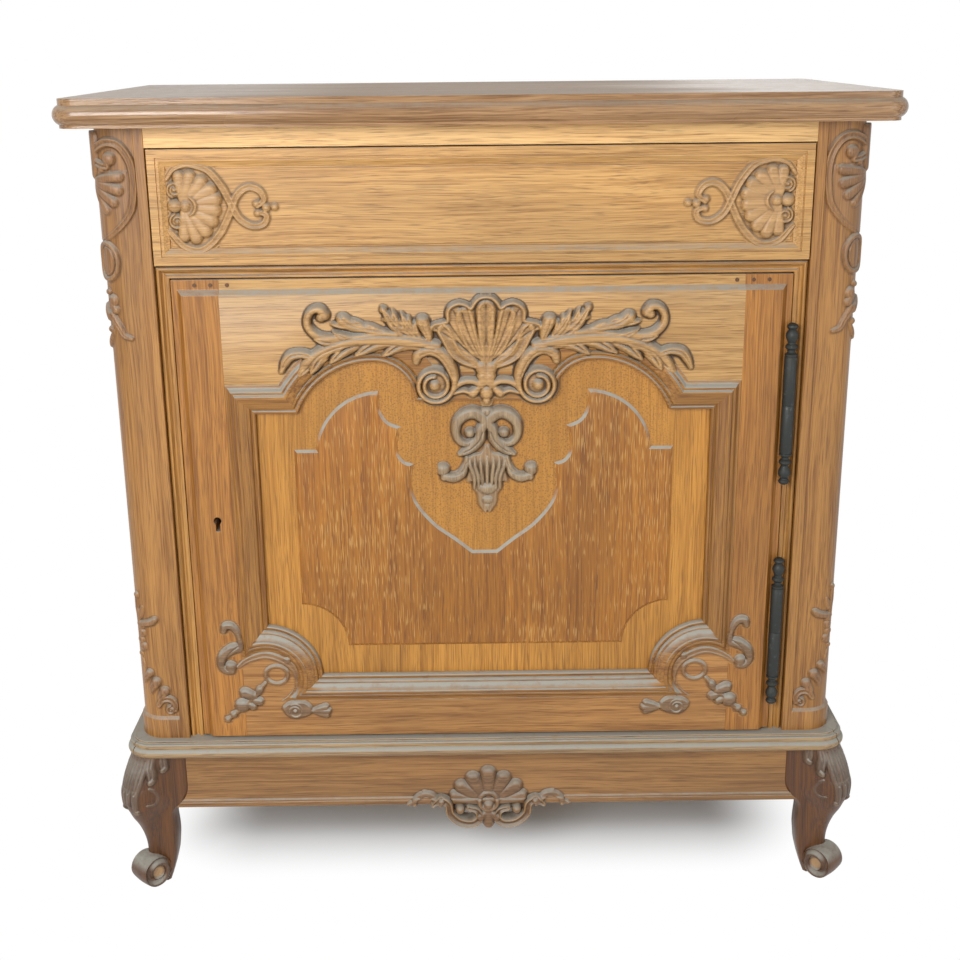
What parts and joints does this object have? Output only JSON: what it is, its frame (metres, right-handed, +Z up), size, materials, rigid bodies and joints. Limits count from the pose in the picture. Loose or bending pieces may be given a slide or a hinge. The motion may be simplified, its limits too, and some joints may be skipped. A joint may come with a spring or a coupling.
{
  "type": "low cabinet",
  "caption": "Low carved oak cabinet on cabriole legs: a hinged door with an arched moulded panel under a full-width drawer, with a shelf and a lock inside.",
  "frame": {"origin": "on the floor under the middle of the top board", "axes": "+Z up, +X to the right seen from the front, +Y from the front to the back"},
  "size_m": [0.984, 0.518, 1.034],
  "materials": {
    "oak_top": "old gloss varnish, redder at the nose",
    "oak_straw": "waxed straw coloured oak",
    "oak_frame": "waxed oak",
    "oak_moulding": "waxed oak with grey dust on the ledges",
    "oak_panel": "quarter sawn honey oak with ray flecks",
    "oak_base": "waxed oak, darker on the legs",
    "oak_carcass": "plain waxed oak",
    "oak_inside": "unfinished planed oak",
    "wrought_iron": "dark aged iron",
    "lock_steel": "dull steel"
  },
  "bodies": {
    "carcass": {"top_board": "oak_top", "top_screws": "lock_steel", "front_post_left": "oak_frame", "front_post_right": "oak_frame", "back_post_left": "oak_carcass", "back_post_right": "oak_carcass", "front_top_rail": "oak_straw", "back_top_rail": "oak_carcass", "side_top_rail_left": "oak_carcass", "side_top_rail_right": "oak_carcass", "drawer_rail": "oak_inside", "bottom_board": "oak_inside", "shelf": "oak_inside", "shelf_cleats": "oak_inside", "side_bottom_rail_left": "oak_carcass", "side_bottom_rail_right": "oak_carcass", "side_panel_left": "oak_carcass", "side_panel_right": "oak_carcass", "back_bottom_rail": "oak_carcass", "back_panel": "oak_carcass", "door_surround_left": "oak_straw", "door_surround_right": "oak_straw", "door_surround_top": "oak_straw", "drawer_runner_left": "oak_inside", "drawer_runner_right": "oak_inside", "drawer_kickers": "oak_inside", "base_moulding_front": "oak_base", "base_moulding_left": "oak_base", "base_moulding_right": "oak_base", "front_apron": "oak_base", "side_apron_left": "oak_base", "side_apron_right": "oak_base", "back_apron": "oak_base", "front_leg_left": "oak_base", "front_leg_right": "oak_base", "back_leg_left": "oak_base", "back_leg_right": "oak_base", "hinge_post_leaves": "wrought_iron", "hinge_pins": "lock_steel", "strike_box": "lock_steel"},
    "door": {"door_stile_left": "oak_frame", "door_stile_right": "oak_frame", "door_top_rail": "oak_straw", "door_bottom_rail": "oak_frame", "door_moulding_left": "oak_moulding", "door_moulding_right": "oak_moulding", "door_moulding_top": "oak_moulding", "door_moulding_bottom": "oak_moulding", "door_panel": "oak_panel", "hinge_door_leaves": "wrought_iron", "lock_case": "lock_steel", "lock_cap": "lock_steel", "lock_screws": "lock_steel"},
    "drawer": {"drawer_front": "oak_straw", "drawer_side_left": "oak_inside", "drawer_side_right": "oak_inside", "drawer_back": "oak_inside", "drawer_bottom": "oak_inside"},
    "lock_bolt": {"lock_bolt": "lock_steel"}
  },
  "joints": [
    {"name": "door_hinge", "type": "hinge", "parent": "carcass", "child": "door", "pos_m": [0.37425, -0.2302, 0], "axis": [0, 0, 1], "range_deg": [0, 165]},
    {"name": "drawer_slide", "type": "slide", "parent": "carcass", "child": "drawer", "axis": [0, -1, 0], "range_m": [0, 0.32]},
    {"name": "bolt_slide", "type": "slide", "parent": "door", "child": "lock_bolt", "axis": [-1, 0, 0], "range_m": [0, 0.009]}
  ]
}
